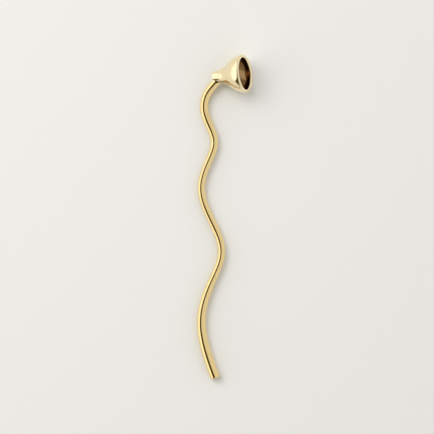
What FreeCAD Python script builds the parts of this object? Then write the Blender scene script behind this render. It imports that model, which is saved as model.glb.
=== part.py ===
"""Candle snuffer: a flared bell on a wavy, tapered handle, lying at rest on a table.

Millimetres. +Z is up off the table, +Y runs along the handle towards the bell, and
+X is the way the bell's mouth faces. The origin is the centre of the whole part's
footprint, on the table.
"""
import FreeCAD, Part
import math
import os

Vector = FreeCAD.Vector

# ---- Driving sizes -----------------------------------------------------------------

# The bell, measured along its own axis from the back of the boss.
BELL_RADIUS = 15.0           # outside of the lip
BELL_LENGTH = 21.0           # crown to mouth
LIP_THICKNESS = 2.7          # the lip is fully rounded
BELL_WALL = 1.7
CROWN_RADIUS = 5.7           # where the bell seats on the boss
CROWN_THICKNESS = 2.2
# The flare between crown and lip: share of the way along, share of the way out.
BELL_FLARE = ((0.25, 0.21), (0.45, 0.51), (0.65, 0.78), (0.84, 0.94))
CROWN_SLOPE = 0.36           # how fast the flare starts to open
BELL_HEADING = 6.0           # degrees that the mouth turns from +X towards +Y
CROWN_EDGE = 0.25            # broken edge that shows the joint line

# The boss that joins the bell to the handle.
BOSS_LENGTH = 6.4
BOSS_BACK_RADIUS = 4.5
BOSS_FRONT_RADIUS = 5.4
BOSS_BACK_ROUND = 1.5
BOSS_LIFT = 0.3              # gap between the boss and the table
SPIGOT_RADIUS = 2.6          # passes through the hole in the crown
SPIGOT_RELIEF = 0.2          # spigot stops short, so that the screw clamps the crown

# The screw inside the bell.
SCREW_RADIUS = 1.5
SCREW_LENGTH = 3.5
SCREW_HEAD_RADIUS = 3.3
SCREW_HEAD_HEIGHT = 1.7
SCREW_SLOT_WIDTH = 0.8
SCREW_SLOT_DEPTH = 0.8

# The handle. Its centre line starts on the bell's axis, where the boss meets the bell.
NECK_ROD_RADIUS = 3.3
WAIST_ROD_RADIUS = 2.8
TAIL_ROD_RADIUS = 3.7
WAIST_START = 0.32           # shares of the handle's length
WAIST_END = 0.62
TAIL_SWELL_END = 0.92
TAIL_EDGE = 0.5              # broken edge round the square-cut tail
HANDLE_SECTIONS = 32

# Where the handle bends, from the joint: towards +X, and share of the reach towards -Y.
HANDLE_REACH = 235.2
HANDLE_BENDS = (
    (0.0, 0.0), (-5.2, 0.026), (-9.8, 0.051),
    (-13.1, 0.102), (-9.4, 0.157), (-5.0, 0.215),
    (-10.2, 0.288), (-15.3, 0.371), (-8.6, 0.467),
    (0.6, 0.583), (-8.2, 0.693), (-15.3, 0.815),
    (-11.6, 0.911), (-4.4, 1.0),
)
# The last bends rise from the handle's plane to the joint: share of the whole rise.
HANDLE_RISE = (1.0, 0.5, 0.15)
FIRST_CREST = 3              # the bend that touches the table, with the tail

# The stud between handle and boss, and the braze round the joint.
STUD_RADIUS = 1.25
STUD_TIP_OFF_AXIS = 2.9      # keeps the stud clear of the screw
STUD_IN_ROD = 7.0
HOLE_END_GAP = 0.4
BRAZE_LEG = 1.3              # how far the braze spreads round the handle
BRAZE_LENGTH = 3.6           # and along it
BRAZE_FEATHER = 0.12         # thickness of its thin end

# How finely the resting tilt is found.
OUTLINE_SAMPLES = 200
TILT_HALVINGS = 40

# ---- Worked out from them -----------------------------------------------------------

CROWN_STATION = BOSS_LENGTH
JOINT_STATION = CROWN_STATION
MOUTH_STATION = CROWN_STATION + BELL_LENGTH
LIP_STATION = MOUTH_STATION - LIP_THICKNESS / 2


# ---- Helpers ------------------------------------------------------------------------

def profile_point(radius, station):
    """A point of a turned outline, before it is placed on the bell's axis."""
    return Vector(radius, 0, station)


def line(start, end):
    return Part.LineSegment(start, end).toShape()


def arc(start, middle, end):
    return Part.Arc(start, middle, end).toShape()


def smooth_step(value, start, end):
    """0 before start, 1 after end, and an even S between them."""
    share = min(max((value - start) / (end - start), 0.0), 1.0)
    return share * share * (3 - 2 * share)


def rod_radius(share):
    """Handle radius at a share of its length from the joint."""
    to_waist = smooth_step(share, 0.0, WAIST_START)
    to_tail = smooth_step(share, WAIST_END, TAIL_SWELL_END)
    upper = NECK_ROD_RADIUS + (WAIST_ROD_RADIUS - NECK_ROD_RADIUS) * to_waist
    return upper + (TAIL_ROD_RADIUS - WAIST_ROD_RADIUS) * to_tail


# ---- The bell -----------------------------------------------------------------------

def flare_points():
    """Where the outside of the bell passes, from the crown's edge to the lip."""
    start_station = CROWN_STATION + CROWN_EDGE
    run = LIP_STATION - start_station
    spread = BELL_RADIUS - CROWN_RADIUS
    points = [profile_point(CROWN_RADIUS, start_station)]
    for along, out in BELL_FLARE:
        points.append(profile_point(CROWN_RADIUS + out * spread, start_station + along * run))
    points.append(profile_point(BELL_RADIUS, LIP_STATION))
    return points


def smooth_curve(points, start_tangent, end_tangent):
    curve = Part.BSplineCurve()
    curve.interpolate(Points=points, InitialTangent=start_tangent, FinalTangent=end_tangent)
    return curve


FLARE_START = Vector(CROWN_SLOPE, 0, 1).normalize()
ALONG_AXIS = Vector(0, 0, 1)
OUTSIDE = smooth_curve(flare_points(), FLARE_START, ALONG_AXIS)


def lowest_height(tilt):
    """Height of the bell's lowest point over the boss's, with the axis tilted up."""
    first = OUTSIDE.FirstParameter
    step = (OUTSIDE.LastParameter - first) / OUTLINE_SAMPLES
    heights = []
    for index in range(OUTLINE_SAMPLES + 1):
        point = OUTSIDE.value(first + index * step)
        heights.append(point.z * math.sin(tilt) - point.x * math.cos(tilt))
    return min(heights) + BOSS_BACK_RADIUS * math.cos(tilt) + BOSS_LIFT


def resting_tilt():
    """Tilt of the bell's axis, in radians, that sets its flank on the table."""
    low = 0.0
    high = math.pi / 2
    for _ in range(TILT_HALVINGS):
        middle = (low + high) / 2
        if lowest_height(middle) < 0:
            low = middle
        else:
            high = middle
    return high


TILT = resting_tilt()
HEADING = math.radians(BELL_HEADING)
BOSS_HEIGHT = BOSS_BACK_RADIUS * math.cos(TILT) + BOSS_LIFT
JOINT_HEIGHT = BOSS_HEIGHT + JOINT_STATION * math.sin(TILT)
BELL_AXIS = Vector(
    math.cos(TILT) * math.cos(HEADING),
    math.cos(TILT) * math.sin(HEADING),
    math.sin(TILT),
)
JOINT = Vector(0, 0, JOINT_HEIGHT)
BOSS_BACK = JOINT - BELL_AXIS * JOINT_STATION
BELL_PLACEMENT = FreeCAD.Placement(BOSS_BACK, FreeCAD.Rotation(Vector(0, 0, 1), BELL_AXIS))


def turned(edges):
    """Revolve a closed outline and lay it along the bell's axis."""
    face = Part.Face(Part.Wire(edges))
    solid = face.revolve(Vector(0, 0, 0), Vector(0, 0, 1), 360)
    solid.Placement = BELL_PLACEMENT
    return solid


def inside_curve():
    """The outside moved in by the wall, thickening towards the lip."""
    floor_radius = CROWN_RADIUS - BELL_WALL
    points = [profile_point(floor_radius, CROWN_STATION + CROWN_THICKNESS)]
    for outer_point in flare_points()[1:-1]:
        tangent = OUTSIDE.tangent(OUTSIDE.parameter(outer_point))[0]
        inward = Vector(-tangent.z, 0, tangent.x)
        points.append(outer_point + inward * BELL_WALL)
    points.append(profile_point(BELL_RADIUS - LIP_THICKNESS, LIP_STATION))
    return smooth_curve(points, FLARE_START, ALONG_AXIS)


def lip_arc(outer_radius, inner_radius):
    return arc(
        profile_point(outer_radius, LIP_STATION),
        profile_point((outer_radius + inner_radius) / 2, MOUTH_STATION),
        profile_point(inner_radius, LIP_STATION),
    )


def make_bell():
    hole_back = profile_point(SPIGOT_RADIUS, CROWN_STATION)
    hole_front = profile_point(SPIGOT_RADIUS, CROWN_STATION + CROWN_THICKNESS)
    crown_edge = profile_point(CROWN_RADIUS - CROWN_EDGE, CROWN_STATION)
    inside = inside_curve()
    return turned([
        line(hole_back, crown_edge),
        line(crown_edge, OUTSIDE.StartPoint),
        OUTSIDE.toShape(),
        lip_arc(BELL_RADIUS, BELL_RADIUS - LIP_THICKNESS),
        inside.toShape(),
        line(inside.StartPoint, hole_front),
        line(hole_front, hole_back),
    ])


# ---- The boss and the bell's screw --------------------------------------------------

SPIGOT_END = CROWN_STATION + CROWN_THICKNESS - SPIGOT_RELIEF
HEAD_SEAT = CROWN_STATION + CROWN_THICKNESS
SCREW_TIP = HEAD_SEAT - SCREW_LENGTH


def boss_back_edges():
    """The boss's flat back, its rounded edge and its tapered side."""
    side_start = profile_point(BOSS_BACK_RADIUS, BOSS_BACK_ROUND)
    flat_end = profile_point(BOSS_BACK_RADIUS - BOSS_BACK_ROUND, 0)
    on_round = BOSS_BACK_ROUND * (1 - math.sqrt(0.5))
    return [
        line(profile_point(0, 0), flat_end),
        arc(flat_end, profile_point(BOSS_BACK_RADIUS - on_round, on_round), side_start),
        line(side_start, profile_point(BOSS_FRONT_RADIUS, BOSS_LENGTH)),
    ]


def make_boss():
    outline = [
        profile_point(BOSS_FRONT_RADIUS, BOSS_LENGTH),
        profile_point(SPIGOT_RADIUS, BOSS_LENGTH),
        profile_point(SPIGOT_RADIUS, SPIGOT_END),
        profile_point(SCREW_RADIUS, SPIGOT_END),
        profile_point(SCREW_RADIUS, SCREW_TIP - HOLE_END_GAP),
        profile_point(0, SCREW_TIP - HOLE_END_GAP),
        profile_point(0, 0),
    ]
    edges = boss_back_edges()
    edges += [line(start, end) for start, end in zip(outline, outline[1:])]
    return turned(edges)


def make_screw():
    head_top = HEAD_SEAT + SCREW_HEAD_HEIGHT
    dome_rise = SCREW_HEAD_HEIGHT / 2
    outline = [
        profile_point(0, SCREW_TIP),
        profile_point(SCREW_RADIUS, SCREW_TIP),
        profile_point(SCREW_RADIUS, HEAD_SEAT),
        profile_point(SCREW_HEAD_RADIUS, HEAD_SEAT),
        profile_point(SCREW_HEAD_RADIUS, head_top - dome_rise),
    ]
    edges = [line(start, end) for start, end in zip(outline, outline[1:])]
    dome_radius = (SCREW_HEAD_RADIUS ** 2 + dome_rise ** 2) / (2 * dome_rise)
    halfway = SCREW_HEAD_RADIUS / 2
    dome_fall = dome_radius - math.sqrt(dome_radius ** 2 - halfway ** 2)
    dome_middle = profile_point(halfway, head_top - dome_fall)
    edges.append(arc(outline[-1], dome_middle, profile_point(0, head_top)))
    edges.append(line(profile_point(0, head_top), outline[0]))
    screw = turned(edges)
    slot_reach = 2 * SCREW_HEAD_RADIUS
    slot = Part.makeBox(
        2 * slot_reach,
        SCREW_SLOT_WIDTH,
        SCREW_HEAD_HEIGHT,
        Vector(-slot_reach, -SCREW_SLOT_WIDTH / 2, head_top - SCREW_SLOT_DEPTH),
    )
    slot.Placement = BELL_PLACEMENT
    return screw.cut(slot)


def make_outer_form():
    """Bell and boss with every hollow filled: what the handle and the braze meet."""
    mouth_edge = profile_point(BELL_RADIUS, LIP_STATION)
    mouth_centre = profile_point(0, LIP_STATION)
    edges = boss_back_edges()
    crown_edge = profile_point(CROWN_RADIUS - CROWN_EDGE, CROWN_STATION)
    edges += [
        line(profile_point(BOSS_FRONT_RADIUS, BOSS_LENGTH), crown_edge),
        line(crown_edge, OUTSIDE.StartPoint),
        OUTSIDE.toShape(),
        line(mouth_edge, mouth_centre),
        line(mouth_centre, profile_point(0, 0)),
    ]
    return turned(edges)


# ---- The handle and what joins it ---------------------------------------------------

def handle_curve():
    """The centre line: bent in one plane that rests on a crest and on the tail."""
    crest_share = HANDLE_BENDS[FIRST_CREST][1]
    crest_height = rod_radius(crest_share)
    fall = (TAIL_ROD_RADIUS - crest_height) / (1 - crest_share)
    points = []
    for index, (side, share) in enumerate(HANDLE_BENDS):
        height = crest_height + fall * (share - crest_share)
        if index < len(HANDLE_RISE):
            height += HANDLE_RISE[index] * (JOINT_HEIGHT - height)
        points.append(Vector(side, -share * HANDLE_REACH, height))
    curve = Part.BSplineCurve()
    curve.interpolate(Points=points)
    return curve


HANDLE_LINE = handle_curve()
ROD_START = HANDLE_LINE.tangent(HANDLE_LINE.FirstParameter)[0]
ROD_ANGLE = math.pi - ROD_START.getAngle(BELL_AXIS)


def rod_section(share):
    """A circle square to the centre line, its seam always to the same side."""
    first = HANDLE_LINE.FirstParameter
    last = HANDLE_LINE.LastParameter
    parameter = first + share * (last - first)
    tangent = HANDLE_LINE.tangent(parameter)[0]
    sideways = tangent.cross(Vector(0, 0, 1)).normalize()
    upright = sideways.cross(tangent)
    circle = Part.makeCircle(rod_radius(share))
    turn = FreeCAD.Rotation(sideways, upright, tangent, "ZXY")
    circle.Placement = FreeCAD.Placement(HANDLE_LINE.value(parameter), turn)
    return Part.Wire(circle)


def make_rod_blank():
    """The whole rod, from the bell's axis to its square-cut tail."""
    sections = [rod_section(index / HANDLE_SECTIONS) for index in range(HANDLE_SECTIONS + 1)]
    bent = Part.makeLoft(sections, True, False)
    last = HANDLE_LINE.LastParameter
    edge = Part.makeCone(
        TAIL_ROD_RADIUS,
        TAIL_ROD_RADIUS - TAIL_EDGE,
        TAIL_EDGE,
        HANDLE_LINE.value(last),
        HANDLE_LINE.tangent(last)[0],
    )
    return bent.fuse(edge)


def along_rod(distance):
    """A point straight down the handle's first direction from the joint."""
    return JOINT + ROD_START * distance


BOSS_SURFACE = BOSS_BACK_RADIUS / math.sin(ROD_ANGLE)
STUD_TIP = STUD_TIP_OFF_AXIS / math.sin(ROD_ANGLE)
STUD_END = BOSS_SURFACE + STUD_IN_ROD


def pin_along_rod(radius, start, end):
    return Part.makeCylinder(radius, end - start, along_rod(start), ROD_START)


def make_stud():
    return pin_along_rod(STUD_RADIUS, STUD_TIP, STUD_END)


def make_stud_hole():
    return pin_along_rod(STUD_RADIUS, STUD_TIP - HOLE_END_GAP, STUD_END + HOLE_END_GAP)


def make_braze(rod_blank, outer_form):
    """A collar that flares from the handle onto the boss."""
    wide = NECK_ROD_RADIUS + BRAZE_LEG
    thin = NECK_ROD_RADIUS + BRAZE_FEATHER
    collar = Part.makeCone(wide, thin, BRAZE_LENGTH, along_rod(BOSS_SURFACE), ROD_START)
    root = Part.makeCylinder(wide, BOSS_SURFACE, JOINT, ROD_START)
    return collar.fuse(root).cut(outer_form).cut(rod_blank)


# ---- Assembly -----------------------------------------------------------------------

def largest_solid(shape):
    return max(shape.Solids, key=lambda solid: solid.Volume)


def make_nodes():
    rod_blank = make_rod_blank()
    outer_form = make_outer_form()
    stud_hole = make_stud_hole()
    return {
        "bell": make_bell(),
        "neck_boss": make_boss().cut(stud_hole),
        "bell_screw": make_screw(),
        "handle_rod": rod_blank.cut(outer_form).cut(stud_hole),
        "joint_stud": make_stud(),
        "braze_fillet": make_braze(rod_blank, outer_form),
    }


def export(nodes):
    """Set the whole part on its origin and write one file for each node."""
    os.makedirs("parts", exist_ok=True)
    box = Part.makeCompound(list(nodes.values())).optimalBoundingBox(False, False)
    shift = Vector(-(box.XMin + box.XMax) / 2, -(box.YMin + box.YMax) / 2, -box.ZMin)
    for name, shape in nodes.items():
        solid = largest_solid(shape)
        solid.translate(shift)
        solid.exportStep(os.path.join("parts", name + ".step"))
        print(name, len(shape.Solids), round(solid.Volume, 1), solid.isValid(), solid.BoundBox)


export(make_nodes())
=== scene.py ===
"""Looks of a polished brass candle snuffer: a flared bell brazed to a long wavy handle.

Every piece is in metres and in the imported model's own frame. The sizes below are the
object's own, in millimetres, and its place comes from the frame.
"""
import math

import bpy
import numpy as np
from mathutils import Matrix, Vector


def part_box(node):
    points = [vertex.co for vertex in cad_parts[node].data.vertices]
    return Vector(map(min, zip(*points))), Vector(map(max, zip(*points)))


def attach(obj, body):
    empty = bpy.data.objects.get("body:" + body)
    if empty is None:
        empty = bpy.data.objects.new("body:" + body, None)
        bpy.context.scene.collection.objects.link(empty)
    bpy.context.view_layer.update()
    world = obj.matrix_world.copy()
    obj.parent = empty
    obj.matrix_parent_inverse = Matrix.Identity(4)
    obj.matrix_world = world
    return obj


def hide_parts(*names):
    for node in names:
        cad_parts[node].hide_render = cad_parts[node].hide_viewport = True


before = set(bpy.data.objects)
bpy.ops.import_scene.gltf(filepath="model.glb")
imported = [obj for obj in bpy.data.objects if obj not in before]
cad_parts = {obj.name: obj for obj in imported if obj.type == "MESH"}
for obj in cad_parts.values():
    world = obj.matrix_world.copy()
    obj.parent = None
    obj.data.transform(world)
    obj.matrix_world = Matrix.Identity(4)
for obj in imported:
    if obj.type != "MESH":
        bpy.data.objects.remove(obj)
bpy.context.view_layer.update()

MM = 0.001

# ---- The object's sizes, in millimetres ---------------------------------------------

BELL_RADIUS = 15.0
BELL_LENGTH = 21.0
LIP_THICKNESS = 2.7
BELL_WALL = 1.7
CROWN_RADIUS = 5.7
CROWN_THICKNESS = 2.2
CROWN_EDGE = 0.25
CROWN_SLOPE = 0.36
# Shares of the bell's length, and of how far it spreads by there.
BELL_FLARE = ((0.25, 0.21), (0.45, 0.51), (0.65, 0.78), (0.84, 0.94))
BELL_HEADING = 6.0           # degrees that the bell points towards +Y

BOSS_LENGTH = 6.4
BOSS_BACK_RADIUS = 4.5
BOSS_FRONT_RADIUS = 5.4
BOSS_BACK_ROUND = 1.5
BOSS_LIFT = 0.3
SPIGOT_RADIUS = 2.6
SPIGOT_RELIEF = 0.2
SCREW_RADIUS = 1.5
SCREW_LENGTH = 3.5
HOLE_END_GAP = 0.4

NECK_ROD_RADIUS = 3.3
WAIST_ROD_RADIUS = 2.8
TAIL_ROD_RADIUS = 3.7
TAIL_EDGE = 0.5
# Shares of the handle's length, where its thickness changes.
WAIST_START = 0.32
WAIST_END = 0.62
TAIL_SWELL_END = 0.92
HANDLE_REACH = 235.2
# How far each bend lies to the side, and its share of the reach.
HANDLE_BENDS = (
    (0.0, 0.0), (-5.2, 0.026), (-9.8, 0.051),
    (-13.1, 0.102), (-9.4, 0.157), (-5.0, 0.215),
    (-10.2, 0.288), (-15.3, 0.371), (-8.6, 0.467),
    (0.6, 0.583), (-8.2, 0.693), (-15.3, 0.815),
    (-11.6, 0.911), (-4.4, 1.0),
)
# How far the first bends rise towards the joint, as shares of its height.
HANDLE_RISE = (1.0, 0.5, 0.15)
# The slopes of the handle's line at its ends.
HANDLE_START = (-0.5708, -0.7567, -0.2464)
HANDLE_END = (0.3518, -0.9090, 0.0022)
FIRST_CREST = 3

STUD_TIP_OFF_AXIS = 2.9
STUD_IN_ROD = 7.0
BRAZE_LEG = 2.0

CROWN_STATION = BOSS_LENGTH
MOUTH_STATION = CROWN_STATION + BELL_LENGTH
LIP_RADIUS = LIP_THICKNESS / 2
LIP_STATION = MOUTH_STATION - LIP_RADIUS

# ---- How finely the meshes are made -------------------------------------------------

BELL_SEGMENTS = 160
FLARE_STEPS = 44
LIP_STEPS = 20
ROUND_STEPS = 8
ROD_SEGMENTS = 56
ROD_STEP = 0.5
JOINT_STEPS = 14
BRAZE_SEGMENTS = 96
BRAZE_STEPS = 12
TAIL_EDGE_STEPS = 5
SHARP_ANGLE = math.radians(38)
OUTLINE_SAMPLES = 200
HALVINGS = 40
SHORT_STEP = 0.02            # either side of a point, to find a line's direction
TINY = 1e-9

# ---- How the pieces overlap where they meet, in millimetres -------------------------

ROD_SUNK = 0.4               # how far the handle starts inside the boss
ROD_EVEN = 1.0               # past its last start, where its rings are square to it
FARTHEST_START = 20.0        # the whole handle is clear of the boss by here
BRAZE_SUNK = 0.05            # how deep the braze's edges lie in handle and boss
BRAZE_CORE = 0.2             # how deep its hidden back lies
BRAZE_CORE_LEAN = 0.2        # how far its back leans down the handle, as a share


# ---- Lines and outlines -------------------------------------------------------------

def smooth_line(points, start_slope, end_slope):
    """A line through the points that starts and ends with the given slopes.

    Returns a function of distance (measured along the chords) and the whole distance.
    """
    points = np.array(points, float)
    chords = np.linalg.norm(np.diff(points, axis=0), axis=1)
    knots = np.concatenate([[0.0], np.cumsum(chords)])
    count = len(points)
    matrix = np.zeros((count, count))
    right = np.zeros_like(points)
    slopes = np.diff(points, axis=0) / chords[:, None]
    matrix[0, 0], matrix[0, 1] = 2 * chords[0], chords[0]
    right[0] = 6 * (slopes[0] - np.array(start_slope))
    matrix[-1, -1], matrix[-1, -2] = 2 * chords[-1], chords[-1]
    right[-1] = 6 * (np.array(end_slope) - slopes[-1])
    for index in range(1, count - 1):
        matrix[index, index - 1] = chords[index - 1]
        matrix[index, index] = 2 * (chords[index - 1] + chords[index])
        matrix[index, index + 1] = chords[index]
        right[index] = 6 * (slopes[index] - slopes[index - 1])
    bends = np.linalg.solve(matrix, right)

    def at(distance):
        span = int(np.clip(np.searchsorted(knots, distance) - 1, 0, count - 2))
        chord = chords[span]
        after = (distance - knots[span]) / chord
        before = 1 - after
        curve = (before**3 - before) * bends[span] + (after**3 - after) * bends[span + 1]
        return before * points[span] + after * points[span + 1] + curve * chord**2 / 6

    return at, knots[-1]


def direction_at(line, distance):
    """Unit direction of a line, by a small step either side."""
    difference = line(distance + SHORT_STEP) - line(distance - SHORT_STEP)
    return difference / np.linalg.norm(difference)


def flare_points():
    """The bell's outside as (radius, station) points, from the crown's edge to the lip."""
    start_station = CROWN_STATION + CROWN_EDGE
    run = LIP_STATION - start_station
    spread = BELL_RADIUS - CROWN_RADIUS
    points = [(CROWN_RADIUS, start_station)]
    for along, out in BELL_FLARE:
        points.append((CROWN_RADIUS + out * spread, start_station + along * run))
    points.append((BELL_RADIUS, LIP_STATION))
    return points


CROWN_SLANT = math.hypot(CROWN_SLOPE, 1.0)
FLARE_START = (CROWN_SLOPE / CROWN_SLANT, 1.0 / CROWN_SLANT)
ALONG_AXIS = (0.0, 1.0)
OUTSIDE, OUTSIDE_LENGTH = smooth_line(flare_points(), FLARE_START, ALONG_AXIS)


def sample(line, length, steps):
    return [line(length * index / steps) for index in range(steps + 1)]


def inside_line():
    """The outside moved in by the wall, thickening towards the lip."""
    outer = np.array(flare_points())
    chords = np.linalg.norm(np.diff(outer, axis=0), axis=1)
    knots = np.concatenate([[0.0], np.cumsum(chords)])
    points = [(CROWN_RADIUS - BELL_WALL, CROWN_STATION + CROWN_THICKNESS)]
    for distance in knots[1:-1]:
        across, along = direction_at(OUTSIDE, distance)
        points.append(OUTSIDE(distance) + np.array([-along, across]) * BELL_WALL)
    points.append((BELL_RADIUS - LIP_THICKNESS, LIP_STATION))
    return smooth_line(points, FLARE_START, ALONG_AXIS)


def round_corner(centre, radius, start_angle, end_angle, steps):
    """Points of an arc in (radius, station), by angle from the outward direction."""
    points = []
    for index in range(steps + 1):
        angle = start_angle + (end_angle - start_angle) * index / steps
        points.append((centre[0] + radius * math.cos(angle), centre[1] + radius * math.sin(angle)))
    return points


# ---- Where the pieces lie -----------------------------------------------------------

def lowest_height(tilt):
    """Height of the bell's lowest point over the boss's, with the axis tilted up."""
    points = sample(OUTSIDE, OUTSIDE_LENGTH, OUTLINE_SAMPLES)
    lowest = min(station * math.sin(tilt) - radius * math.cos(tilt) for radius, station in points)
    return lowest + BOSS_BACK_RADIUS * math.cos(tilt) + BOSS_LIFT


def resting_tilt():
    """Tilt of the bell's axis that sets its flank on the table."""
    low = 0.0
    high = math.pi / 2
    for _ in range(HALVINGS):
        middle = (low + high) / 2
        if lowest_height(middle) < 0:
            low = middle
        else:
            high = middle
    return high


TILT = resting_tilt()
HEADING = math.radians(BELL_HEADING)
JOINT_HEIGHT = BOSS_BACK_RADIUS * math.cos(TILT) + BOSS_LIFT + CROWN_STATION * math.sin(TILT)
BELL_AXIS = np.array([
    math.cos(TILT) * math.cos(HEADING),
    math.cos(TILT) * math.sin(HEADING),
    math.sin(TILT),
])
UP = np.array([0.0, 0.0, 1.0])
AXIS_SIDE = np.cross(UP, BELL_AXIS) / np.linalg.norm(np.cross(UP, BELL_AXIS))
AXIS_TOP = np.cross(BELL_AXIS, AXIS_SIDE)


def smooth_step(value, start, end):
    share = min(max((value - start) / (end - start), 0.0), 1.0)
    return share * share * (3 - 2 * share)


def rod_radius(share):
    """Handle radius at a share of its length from the joint."""
    to_waist = smooth_step(share, 0.0, WAIST_START)
    to_tail = smooth_step(share, WAIST_END, TAIL_SWELL_END)
    upper = NECK_ROD_RADIUS + (WAIST_ROD_RADIUS - NECK_ROD_RADIUS) * to_waist
    return upper + (TAIL_ROD_RADIUS - WAIST_ROD_RADIUS) * to_tail


def handle_points():
    """The bends of the handle's centre line, measured from the joint's foot."""
    crest_share = HANDLE_BENDS[FIRST_CREST][1]
    crest_height = rod_radius(crest_share)
    fall = (TAIL_ROD_RADIUS - crest_height) / (1 - crest_share)
    points = []
    for index, (side, share) in enumerate(HANDLE_BENDS):
        height = crest_height + fall * (share - crest_share)
        if index < len(HANDLE_RISE):
            height += HANDLE_RISE[index] * (JOINT_HEIGHT - height)
        points.append((side, -share * HANDLE_REACH, height))
    return points


HANDLE_LINE, HANDLE_LENGTH = smooth_line(handle_points(), HANDLE_START, HANDLE_END)
ROD_START = np.array(HANDLE_START) / np.linalg.norm(HANDLE_START)
ROD_ANGLE = math.acos(-float(ROD_START @ BELL_AXIS))


def joint_place():
    """The joint in the model's frame, found from the stud that lies along the rod."""
    low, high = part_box("joint_stud")
    stud_middle = np.array((low + high) / 2) / MM
    tip = STUD_TIP_OFF_AXIS / math.sin(ROD_ANGLE)
    end = BOSS_BACK_RADIUS / math.sin(ROD_ANGLE) + STUD_IN_ROD
    return stud_middle - ROD_START * (tip + end) / 2


JOINT = joint_place()
HANDLE_SHIFT = JOINT - np.array([0.0, 0.0, JOINT_HEIGHT])
BOSS_BACK = JOINT - BELL_AXIS * CROWN_STATION


def on_axis(radius, angle, station):
    """A point round the bell's axis; angle 0 is sideways and a quarter turn is on top."""
    around = AXIS_SIDE * math.cos(angle) + AXIS_TOP * math.sin(angle)
    return BOSS_BACK + BELL_AXIS * station + around * radius


# Where the middle of the bell's mouth lies along Y, in metres.
MOUTH_MIDDLE = float(on_axis(0, 0, LIP_STATION)[1]) * MM


def round_handle(distance, angle, inset=0.0):
    """A point on the handle's skin; angle 0 is sideways and a quarter turn is on top."""
    along = direction_at(HANDLE_LINE, distance)
    sideways = np.cross(along, UP)
    sideways /= np.linalg.norm(sideways)
    upright = np.cross(sideways, along)
    around = sideways * math.cos(angle) + upright * math.sin(angle)
    radius = rod_radius(distance / HANDLE_LENGTH) - inset
    return HANDLE_LINE(distance) + HANDLE_SHIFT + around * radius


# ---- Meshes -------------------------------------------------------------------------

def skin(name, rings, looped=False, first_cap=None, last_cap=None):
    """A closed mesh of quads between rings of points, with its ends joined or capped.

    Its UV map holds the millimetres round and along the piece, for the polishing marks.
    """
    rings = np.array(rings, float)
    ring_count, around_count = rings.shape[:2]
    points = rings.reshape(-1, 3).tolist()
    around = np.linalg.norm(np.roll(rings, -1, axis=1) - rings, axis=2).mean(axis=1)
    steps = np.linalg.norm(np.diff(rings, axis=0), axis=2).mean(axis=1)
    along = np.concatenate([[0.0], np.cumsum(steps)])
    faces = []
    marks = []
    for index in range(ring_count if looped else ring_count - 1):
        after = (index + 1) % ring_count
        row = index * around_count
        next_row = after * around_count
        low = along[index]
        high = along[after] if after else along[index]
        width = around[index]
        for side in range(around_count):
            beside = (side + 1) % around_count
            faces.append((row + side, row + beside, next_row + beside, next_row + side))
            marks += [
                (side * width, low), ((side + 1) * width, low),
                ((side + 1) * width, high), (side * width, high),
            ]
    for cap, row in ((first_cap, 0), (last_cap, (ring_count - 1) * around_count)):
        if cap is None:
            continue
        middle = len(points)
        points.append(list(cap))
        for side in range(around_count):
            beside = (side + 1) % around_count
            faces.append((row + side, row + beside, middle))
            marks += [(points[row + side][0], points[row + side][1])] * 3
    mesh = bpy.data.meshes.new(name)
    mesh.from_pydata([[value * MM for value in point] for point in points], [], faces)
    layer = mesh.uv_layers.new(name="finish")
    layer.data.foreach_set("uv", np.array(marks, float).ravel())
    mesh.polygons.foreach_set("use_smooth", [True] * len(faces))
    face_outward(mesh)
    mesh.set_sharp_from_angle(angle=SHARP_ANGLE)
    piece = bpy.data.objects.new(name, mesh)
    bpy.context.scene.collection.objects.link(piece)
    return piece


def face_outward(mesh):
    """Turn every face of a closed mesh if its volume comes out negative."""
    corners = np.zeros(len(mesh.vertices) * 3)
    mesh.vertices.foreach_get("co", corners)
    corners = corners.reshape(-1, 3)
    mesh.calc_loop_triangles()
    triangles = np.zeros(len(mesh.loop_triangles) * 3, int)
    mesh.loop_triangles.foreach_get("vertices", triangles)
    first, second, third = corners[triangles.reshape(-1, 3)].transpose(1, 0, 2)
    volume = np.einsum("ij,ij->i", first, np.cross(second, third)).sum()
    if volume < 0:
        mesh.flip_normals()


def turned_rings(outline, segments):
    """A ring round the bell's axis for each (radius, station) of the outline."""
    angles = [2 * math.pi * index / segments for index in range(segments)]
    return [[on_axis(radius, angle, station) for angle in angles] for radius, station in outline]


def settle(piece, node, slot, *materials):
    """Give a piece its finish and let it stand for its CAD node."""
    for material in materials:
        piece.data.materials.append(material)
    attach(piece, "root")
    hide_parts(node)
    return piece


def make_bell(outside_finish, inside_finish):
    inside, inside_length = inside_line()
    outline = [
        (SPIGOT_RADIUS, CROWN_STATION),
        (CROWN_RADIUS - CROWN_EDGE, CROWN_STATION),
    ]
    outline += sample(OUTSIDE, OUTSIDE_LENGTH, FLARE_STEPS)
    lip_centre = (BELL_RADIUS - LIP_RADIUS, LIP_STATION)
    outline += round_corner(lip_centre, LIP_RADIUS, 0.0, math.pi, LIP_STEPS)[1:-1]
    first_inside = len(outline)
    outline += sample(inside, inside_length, FLARE_STEPS)[::-1]
    outline.append((SPIGOT_RADIUS, CROWN_STATION + CROWN_THICKNESS))
    piece = skin("bell_shell", turned_rings(outline, BELL_SEGMENTS), looped=True)
    for face in piece.data.polygons:
        face.material_index = int(face.index // BELL_SEGMENTS >= first_inside)
    return settle(piece, "bell", "polished_brass", outside_finish, inside_finish)


def boss_back_outline():
    """The boss's rounded back edge and the start of its taper."""
    flat_radius = BOSS_BACK_RADIUS - BOSS_BACK_ROUND
    corner = (flat_radius, BOSS_BACK_ROUND)
    return round_corner(corner, BOSS_BACK_ROUND, -math.pi / 2, 0.0, ROUND_STEPS)


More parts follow.
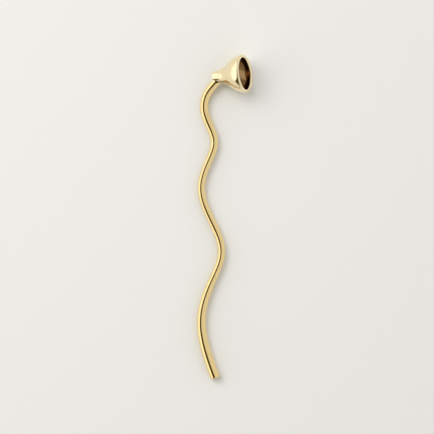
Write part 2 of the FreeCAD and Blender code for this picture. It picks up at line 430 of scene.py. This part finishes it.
def make_boss(finish):
    hole_floor = CROWN_STATION + CROWN_THICKNESS - SCREW_LENGTH - HOLE_END_GAP
    spigot_end = CROWN_STATION + CROWN_THICKNESS - SPIGOT_RELIEF
    outline = boss_back_outline()
    outline += [
        (BOSS_FRONT_RADIUS, BOSS_LENGTH),
        (SPIGOT_RADIUS, BOSS_LENGTH),
        (SPIGOT_RADIUS, spigot_end),
        (SCREW_RADIUS, spigot_end),
        (SCREW_RADIUS, hole_floor),
    ]
    piece = skin(
        "boss",
        turned_rings(outline, BELL_SEGMENTS),
        first_cap=on_axis(0, 0, 0),
        last_cap=on_axis(0, 0, hole_floor),
    )
    return settle(piece, "neck_boss", "polished_brass", finish)


# The filled form of boss and bell, which the handle and the braze meet.
FORM = np.array(
    [(0.0, 0.0)] + boss_back_outline()
    + [(BOSS_FRONT_RADIUS, BOSS_LENGTH), (CROWN_RADIUS - CROWN_EDGE, CROWN_STATION)]
    + [tuple(point) for point in sample(OUTSIDE, OUTSIDE_LENGTH, FLARE_STEPS)]
)


def axis_place(point):
    """Radius and station of a point, and the direction out from the bell's axis."""
    offset = point - BOSS_BACK
    station = float(offset @ BELL_AXIS)
    outward = offset - BELL_AXIS * station
    radius = float(np.linalg.norm(outward))
    return radius, station, outward / max(radius, TINY)


def outside_form(point):
    """Whether a point is clear of the filled boss and bell."""
    radius, station, _ = axis_place(point)
    return station < 0 or radius > np.interp(station, FORM[:, 1], FORM[:, 0])


def on_form(point):
    """The nearest point of the filled form's skin, and the way out of it there."""
    radius, station, outward = axis_place(point)
    place = np.array([radius, station])
    starts = FORM[:-1]
    runs = FORM[1:] - starts
    shares = np.einsum("ij,ij->i", place - starts, runs) / np.einsum("ij,ij->i", runs, runs)
    nearest = starts + runs * np.clip(shares, 0, 1)[:, None]
    best = int(np.argmin(np.linalg.norm(nearest - place, axis=1)))
    across, along = runs[best] / np.linalg.norm(runs[best])
    found = nearest[best]
    surface_point = BOSS_BACK + BELL_AXIS * found[1] + outward * found[0]
    way_out = outward * along - BELL_AXIS * across
    return surface_point, way_out


def leaving_distance(angle):
    """How far down the handle one side of it comes clear of the boss."""
    low = 0.0
    high = FARTHEST_START
    for _ in range(HALVINGS):
        middle = (low + high) / 2
        if outside_form(round_handle(middle, angle)):
            high = middle
        else:
            low = middle
    return high


def make_handle(finish):
    angles = [2 * math.pi * index / ROD_SEGMENTS for index in range(ROD_SEGMENTS)]
    starts = [leaving_distance(angle) - ROD_SUNK for angle in angles]
    even_start = max(starts) + ROD_EVEN
    rings = []
    for step in range(JOINT_STEPS):
        share = step / JOINT_STEPS
        rings.append([
            round_handle(start + (even_start - start) * share, angle)
            for start, angle in zip(starts, angles)
        ])
    even_steps = round((HANDLE_LENGTH - even_start) / ROD_STEP)
    for step in range(even_steps + 1):
        distance = even_start + (HANDLE_LENGTH - even_start) * step / even_steps
        rings.append([round_handle(distance, angle) for angle in angles])
    end_direction = direction_at(HANDLE_LINE, HANDLE_LENGTH)
    for step in range(1, TAIL_EDGE_STEPS + 1):
        turn = math.pi / 2 * step / TAIL_EDGE_STEPS
        drop = TAIL_EDGE * (1 - math.cos(turn))
        forward = TAIL_EDGE * math.sin(turn)
        rings.append([
            round_handle(HANDLE_LENGTH, angle, inset=drop) + end_direction * forward
            for angle in angles
        ])
    middle_start = np.mean(rings[0], axis=0)
    tail_middle = np.mean(rings[-1], axis=0)
    piece = skin("wavy_handle", rings, first_cap=middle_start, last_cap=tail_middle)
    return settle(piece, "handle_rod", "polished_brass", finish)


def make_braze(finish):
    """A hollow-faced ring of braze, tangent to the handle and to the boss."""
    sections = []
    for index in range(BRAZE_SEGMENTS):
        angle = 2 * math.pi * index / BRAZE_SEGMENTS
        leave = leaving_distance(angle)
        corner = round_handle(leave, angle)
        on_rod = round_handle(leave + BRAZE_LEG, angle, inset=BRAZE_SUNK)
        _, way_out = on_form(corner)
        away = corner - round_handle(leave, angle, inset=1.0)
        along_form = away - way_out * float(away @ way_out)
        along_form /= np.linalg.norm(along_form)
        on_boss, way_out = on_form(corner + along_form * BRAZE_LEG)
        on_boss = on_boss - way_out * BRAZE_SUNK
        section = []
        for step in range(BRAZE_STEPS + 1):
            share = step / BRAZE_STEPS
            section.append(
                on_rod * (1 - share) ** 2 + corner * 2 * share * (1 - share) + on_boss * share**2
            )
        inner = round_handle(leave + BRAZE_LEG / 2, angle, inset=BRAZE_CORE)
        section.append(corner - way_out * BRAZE_CORE - (corner - inner) * BRAZE_CORE_LEAN)
        sections.append(section)
    rings = [list(ring) for ring in zip(*sections)]
    piece = skin("braze_blend", rings, looped=True)
    return settle(piece, "braze_fillet", "braze", finish)


# ---- Shader effects shared by the finishes ------------------------------------------

# Where each pattern starts and ends in its noise or its bend of the surface.
HAZE_RANGE = (0.42, 0.74)
CLOUD_RANGE = (0.5, 0.75)
# The corner range darkens concave places as painted shade.
CORNER_SHADE_RANGE = (0.40, 0.49)
SHADE_PATCH_RANGE = (0.3, 0.7)
SHADE_EDGE = 0.0015           # how far the painted shade's edge wanders, in metres
WAVE_STRENGTH = 1.0
LINE_STRENGTH = 0.6


def new_group(name, inputs, outputs):
    """An empty shader group with number inputs, and outputs of the given kinds."""
    group = bpy.data.node_groups.new(name, "ShaderNodeTree")
    for label, value in inputs:
        socket = group.interface.new_socket(label, in_out="INPUT", socket_type="NodeSocketFloat")
        socket.default_value = value
    for label, kind in outputs:
        group.interface.new_socket(label, in_out="OUTPUT", socket_type=kind)
    entry = group.nodes.new("NodeGroupInput")
    exit_node = group.nodes.new("NodeGroupOutput")
    return group, entry, exit_node


def add_noise(tree, vector, scale, detail, roughness):
    noise = tree.nodes.new("ShaderNodeTexNoise")
    noise.inputs["Detail"].default_value = detail
    noise.inputs["Roughness"].default_value = roughness
    tree.links.new(scale, noise.inputs["Scale"])
    tree.links.new(vector, noise.inputs["Vector"])
    return noise.outputs["Fac"]


def add_range(tree, value, low, high, out_low, out_high):
    """Map a value smoothly from one range to another, with number or socket ends."""
    node = tree.nodes.new("ShaderNodeMapRange")
    node.interpolation_type = "SMOOTHSTEP"
    tree.links.new(value, node.inputs["Value"])
    ends = {"From Min": low, "From Max": high, "To Min": out_low, "To Max": out_high}
    for label, end in ends.items():
        if isinstance(end, (int, float)):
            node.inputs[label].default_value = end
        else:
            tree.links.new(end, node.inputs[label])
    return node.outputs["Result"]


def add_math(tree, operation, first, second):
    node = tree.nodes.new("ShaderNodeMath")
    node.operation = operation
    for socket, value in zip(node.inputs, (first, second)):
        if isinstance(value, (int, float)):
            socket.default_value = value
        else:
            tree.links.new(value, socket)
    return node.outputs["Value"]


def make_polishing_lines():
    """Fine lines left by the polishing mop, drawn out along the piece."""
    group, entry, exit_node = new_group(
        "polishing_lines",
        [("Lines per mm", 9.0), ("Stretch", 0.05)],
        [("Height", "NodeSocketFloat")],
    )
    marks = group.nodes.new("ShaderNodeUVMap")
    marks.uv_map = "finish"
    spread = group.nodes.new("ShaderNodeCombineXYZ")
    spread.inputs["X"].default_value = 1.0
    spread.inputs["Z"].default_value = 1.0
    group.links.new(entry.outputs["Stretch"], spread.inputs["Y"])
    stretched = group.nodes.new("ShaderNodeVectorMath")
    stretched.operation = "MULTIPLY"
    group.links.new(marks.outputs["UV"], stretched.inputs[0])
    group.links.new(spread.outputs["Vector"], stretched.inputs[1])
    fine = add_noise(
        group, stretched.outputs["Vector"], entry.outputs["Lines per mm"],
        detail=3.0, roughness=0.6,
    )
    group.links.new(fine, exit_node.inputs["Height"])
    return group


def make_hand_haze():
    """Patches that handling has dulled, as a roughness."""
    group, entry, exit_node = new_group(
        "hand_haze",
        [("Patches per metre", 60.0), ("Clean", 0.06), ("Hazed", 0.16)],
        [("Roughness", "NodeSocketFloat"), ("Haze", "NodeSocketFloat")],
    )
    place = group.nodes.new("ShaderNodeTexCoord").outputs["Object"]
    broad = add_noise(
        group, place, entry.outputs["Patches per metre"], detail=4.0, roughness=0.62
    )
    haze = add_range(group, broad, *HAZE_RANGE, 0.0, 1.0)
    rough = add_range(
        group, broad, *HAZE_RANGE, entry.outputs["Clean"], entry.outputs["Hazed"]
    )
    group.links.new(rough, exit_node.inputs["Roughness"])
    group.links.new(haze, exit_node.inputs["Haze"])
    return group


def make_mop_waves():
    """The slight unevenness that hand polishing leaves in a bright surface."""
    group, entry, exit_node = new_group(
        "mop_waves", [("Waves per metre", 130.0)], [("Height", "NodeSocketFloat")]
    )
    place = group.nodes.new("ShaderNodeTexCoord").outputs["Object"]
    waves = add_noise(
        group, place, entry.outputs["Waves per metre"], detail=1.0, roughness=0.4
    )
    group.links.new(waves, exit_node.inputs["Height"])
    return group


def make_tarnish_and_corner_shade():
    """Where brass darkens: faint clouds of tarnish, and painted shade in concave corners."""
    group, entry, exit_node = new_group(
        "tarnish_and_corner_shade",
        [("Clouds per metre", 90.0), ("Cloud strength", 0.25), ("Corner strength", 0.6)],
        [("Mask", "NodeSocketFloat")],
    )
    place = group.nodes.new("ShaderNodeTexCoord").outputs["Object"]
    cloud = add_noise(
        group, place, entry.outputs["Clouds per metre"], detail=5.0, roughness=0.6
    )
    cloud = add_range(group, cloud, *CLOUD_RANGE, 0.0, entry.outputs["Cloud strength"])
    # Painted shade: concave corners and creases, found by the surface's bend, take the darker
    # colour.
    bend = group.nodes.new("ShaderNodeNewGeometry").outputs["Pointiness"]
    corner = add_range(group, bend, *CORNER_SHADE_RANGE, entry.outputs["Corner strength"], 0.0)
    group.links.new(add_math(group, "MAXIMUM", cloud, corner), exit_node.inputs["Mask"])
    return group


def make_inside_painted_shade():
    """Painted shade on the sides of the bell's inside, thinner along its middle, where a lighter
    band stands as a painted reflection.
    """
    group, entry, exit_node = new_group(
        "inside_painted_shade",
        [("Middle", 0.0), ("Lit band width", 0.001), ("Shaded width", 0.006), ("Patches", 260.0)],
        [("Mask", "NodeSocketFloat")],
    )
    place = group.nodes.new("ShaderNodeTexCoord").outputs["Object"]
    split = group.nodes.new("ShaderNodeSeparateXYZ")
    group.links.new(place, split.inputs["Vector"])
    beside = add_math(group, "SUBTRACT", split.outputs["Y"], entry.outputs["Middle"])
    beside = add_math(group, "ABSOLUTE", beside, 0.0)
    patches = add_noise(group, place, entry.outputs["Patches"], detail=4.0, roughness=0.6)
    uneven = add_range(group, patches, *SHADE_PATCH_RANGE, -SHADE_EDGE, SHADE_EDGE)
    beside = add_math(group, "ADD", beside, uneven)
    lit_band_width = entry.outputs["Lit band width"]
    mask = add_range(group, beside, lit_band_width, entry.outputs["Shaded width"], 0.0, 1.0)
    group.links.new(mask, exit_node.inputs["Mask"])
    return group


EFFECTS = {
    "inside_painted_shade": make_inside_painted_shade(),
    "lines": make_polishing_lines(),
    "haze": make_hand_haze(),
    "waves": make_mop_waves(),
    "tarnish_and_corner_shade": make_tarnish_and_corner_shade(),
}


def place_effect(tree, effect, **values):
    """Put a shared effect in a material with its own values; _ in a name is a space."""
    node = tree.nodes.new("ShaderNodeGroup")
    node.node_tree = EFFECTS[effect]
    for label, value in values.items():
        node.inputs[label.replace("_", " ")].default_value = value
    return node


def add_bump(tree, height, distance, strength, under=None):
    bump = tree.nodes.new("ShaderNodeBump")
    bump.inputs["Distance"].default_value = distance
    bump.inputs["Strength"].default_value = strength
    tree.links.new(height, bump.inputs["Height"])
    if under is not None:
        tree.links.new(under, bump.inputs["Normal"])
    return bump.outputs["Normal"]


def brass_finish(name, bright, dull, clean, hazed, line_depth, wave_depth, clouds, corners,
                 shade_band_middle=None):
    """A brass surface: its bright colour and a darker one laid on by tarnish clouds and by painted
    shade, its polish and its marks.
    """
    material = bpy.data.materials.new(name)
    material.use_nodes = True
    tree = material.node_tree
    shader = tree.nodes["Principled BSDF"]
    shader.inputs["Metallic"].default_value = 1.0

    # The darker colour comes with faint tarnish clouds and with painted shade in concave corners.
    tarnish_and_corner_shade = place_effect(tree, "tarnish_and_corner_shade", Cloud_strength=clouds, Corner_strength=corners)
    colour = tree.nodes.new("ShaderNodeMix")
    colour.data_type = "RGBA"
    colour.inputs["A"].default_value = (*bright, 1.0)
    colour.inputs["B"].default_value = (*dull, 1.0)
    mask = tarnish_and_corner_shade.outputs["Mask"]
    # Inside the bell, painted shade darkens above and below a middle band, which is left lighter
    # as a painted reflection.
    if shade_band_middle is not None:
        inside_painted_shade = place_effect(tree, "inside_painted_shade", Middle=shade_band_middle)
        mask = add_math(tree, "MAXIMUM", mask, inside_painted_shade.outputs["Mask"])
    tree.links.new(mask, colour.inputs["Factor"])
    tree.links.new(colour.outputs["Result"], shader.inputs["Base Color"])

    haze = place_effect(tree, "haze", Clean=clean, Hazed=hazed)
    tree.links.new(haze.outputs["Roughness"], shader.inputs["Roughness"])

    waves = place_effect(tree, "waves")
    lines = place_effect(tree, "lines")
    normal = add_bump(tree, waves.outputs["Height"], wave_depth, WAVE_STRENGTH)
    normal = add_bump(tree, lines.outputs["Height"], line_depth, LINE_STRENGTH, normal)
    tree.links.new(normal, shader.inputs["Normal"])
    return material


PALE_BRASS = (0.96, 0.82, 0.54)
BRIGHT_BRASS = (0.95, 0.74, 0.36)
WARM_BRASS = (0.76, 0.54, 0.24)
# Painted shade: the bell's inside takes a darker copy of the brass; the darkest colour also serves
# tarnish clouds and painted corner shade.
SHADED_INSIDE_BRASS = (0.46, 0.28, 0.13)
DARK_BRASS_TARNISH_AND_SHADE = (0.19, 0.10, 0.04)
DRESSED_BRASS = (0.91, 0.77, 0.48)
TURNED_BRASS = (0.78, 0.60, 0.30)


def make_finishes():
    return {
        "handle": brass_finish(
            "polished brass", BRIGHT_BRASS, WARM_BRASS,
            clean=0.05, hazed=0.13, line_depth=2e-6, wave_depth=1.5e-5, clouds=0.25, corners=0.6,
        ),
        "bell": brass_finish(
            "soft brass of the bell", PALE_BRASS, WARM_BRASS,
            clean=0.13, hazed=0.2, line_depth=2e-6, wave_depth=1.5e-5, clouds=0.15, corners=0.6,
        ),
        # Painted shade: darker brass throughout the bell's inside, with a painted lighter band
        # along its middle.
        "inside": brass_finish(
            "brass inside the bell, darkened as painted shade", SHADED_INSIDE_BRASS, DARK_BRASS_TARNISH_AND_SHADE,
            clean=0.14, hazed=0.28, line_depth=4e-6, wave_depth=1.5e-5, clouds=0.5, corners=0.8,
            shade_band_middle=MOUTH_MIDDLE,
        ),
        "braze": brass_finish(
            "dressed braze", DRESSED_BRASS, WARM_BRASS,
            clean=0.08, hazed=0.2, line_depth=3e-6, wave_depth=4e-5, clouds=0.4, corners=0.3,
        ),
        "turned": brass_finish(
            "turned brass screw", TURNED_BRASS, DARK_BRASS_TARNISH_AND_SHADE,
            clean=0.2, hazed=0.35, line_depth=5e-6, wave_depth=1e-5, clouds=0.6, corners=0.8,
        ),
    }


# ---- Floor, light and camera --------------------------------------------------------

FLOOR_SIZE = 6.0
FLOOR_COLOUR = (0.90, 0.90, 0.885)
FLOOR_ROUGHNESS = 0.6
CAMERA_HEIGHT = 2.0
CAMERA_LENS = 211.5
CAMERA_SIDE = -0.0060
CAMERA_UP = 0.0002
WINDOW_AIM = (-0.97, 0.20, 0.10)    # the direction of the window's middle
WINDOW_LIGHT = 0.50
ROOM_LIGHT = 0.77
GAP_LIGHT = 0.07
ROOM_TINT = (1.0, 0.985, 0.95)
GAP_TINT = (1.0, 0.8, 0.3)
# Where the surroundings change, as cosines of the angle to the window or to an axis.
WINDOW_EDGE = (0.64, 0.74)
GAP_WINDOW_EDGE = (0.64, 0.72)
GAP_RIGHT_EDGE = (-0.06, 0.06)
GAP_FOOT = (0.0, 0.12)
GAP_BELL_SIDE = (0.25, 0.5)
LAMP_PLACE = (-0.9, 0.75, 1.5)
LAMP_SIZE = 1.2
LAMP_WATTS = 15.0


def make_floor():
    mesh = bpy.data.meshes.new("floor")
    half = FLOOR_SIZE / 2
    corners = [(-half, -half, 0), (half, -half, 0), (half, half, 0), (-half, half, 0)]
    mesh.from_pydata(corners, [], [(0, 1, 2, 3)])
    floor = bpy.data.objects.new("floor", mesh)
    bpy.context.scene.collection.objects.link(floor)
    material = bpy.data.materials.new("pale floor")
    material.use_nodes = True
    shader = material.node_tree.nodes["Principled BSDF"]
    shader.inputs["Base Color"].default_value = (*FLOOR_COLOUR, 1.0)
    shader.inputs["Roughness"].default_value = FLOOR_ROUGHNESS
    mesh.materials.append(material)


def make_surroundings():
    """A pale room, brightest low on the left, with a dark gap just left of overhead."""
    world = bpy.data.worlds.new("soft studio")
    bpy.context.scene.world = world
    world.use_nodes = True
    tree = world.node_tree
    background = tree.nodes["Background"]
    direction = tree.nodes.new("ShaderNodeTexCoord").outputs["Generated"]
    split = tree.nodes.new("ShaderNodeSeparateXYZ")
    tree.links.new(direction, split.inputs["Vector"])
    left = add_math(tree, "MULTIPLY", split.outputs["X"], -1.0)
    height = split.outputs["Z"]
    aim = tree.nodes.new("ShaderNodeVectorMath")
    aim.operation = "DOT_PRODUCT"
    aim.inputs[1].default_value = WINDOW_AIM
    tree.links.new(direction, aim.inputs[0])
    towards_window = aim.outputs["Value"]

    lit = add_range(tree, towards_window, *WINDOW_EDGE, 0.0, 1.0)
    window = add_math(tree, "MULTIPLY", lit, WINDOW_LIGHT)
    over_left = add_range(tree, left, *GAP_RIGHT_EDGE, 0.0, 1.0)
    beside_window = add_range(tree, towards_window, *GAP_WINDOW_EDGE, 1.0, 0.0)
    above = add_range(tree, height, *GAP_FOOT, 0.0, 1.0)
    tail_side = add_range(tree, split.outputs["Y"], *GAP_BELL_SIDE, 1.0, 0.0)
    gap = add_math(tree, "MULTIPLY", over_left, beside_window)
    gap = add_math(tree, "MULTIPLY", gap, above)
    gap = add_math(tree, "MULTIPLY", gap, tail_side)
    room = add_range(tree, gap, 0.0, 1.0, ROOM_LIGHT, GAP_LIGHT)
    strength = add_math(tree, "ADD", room, window)
    tree.links.new(strength, background.inputs["Strength"])
    tint = tree.nodes.new("ShaderNodeMix")
    tint.data_type = "RGBA"
    tint.inputs["A"].default_value = (*ROOM_TINT, 1.0)
    tint.inputs["B"].default_value = (*GAP_TINT, 1.0)
    tree.links.new(gap, tint.inputs["Factor"])
    tree.links.new(tint.outputs["Result"], background.inputs["Color"])


def make_lamp():
    """A soft lamp from the upper left, which shades the floor towards the lower right."""
    data = bpy.data.lights.new("soft lamp", "AREA")
    data.size = LAMP_SIZE
    data.energy = LAMP_WATTS
    lamp = bpy.data.objects.new("soft lamp", data)
    lamp.location = LAMP_PLACE
    lamp.rotation_euler = Vector(LAMP_PLACE).to_track_quat("Z", "Y").to_euler()
    lamp.visible_glossy = False
    bpy.context.scene.collection.objects.link(lamp)


def make_camera():
    data = bpy.data.cameras.new("camera")
    data.lens = CAMERA_LENS
    camera = bpy.data.objects.new("camera", data)
    camera.location = (CAMERA_SIDE, CAMERA_UP, CAMERA_HEIGHT)
    bpy.context.scene.collection.objects.link(camera)
    bpy.context.scene.camera = camera
    bpy.context.scene.view_settings.view_transform = "Standard"


# ---- Putting it together ------------------------------------------------------------

make_camera()
make_floor()
make_surroundings()
make_lamp()
finishes = make_finishes()
make_bell(finishes["bell"], finishes["inside"])
make_boss(finishes["bell"])
make_handle(finishes["handle"])
make_braze(finishes["braze"])
for hidden in ("bell_screw", "joint_stud"):
    node_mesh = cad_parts[hidden].data
    node_mesh.materials.clear()
    node_mesh.materials.append(finishes["turned"])
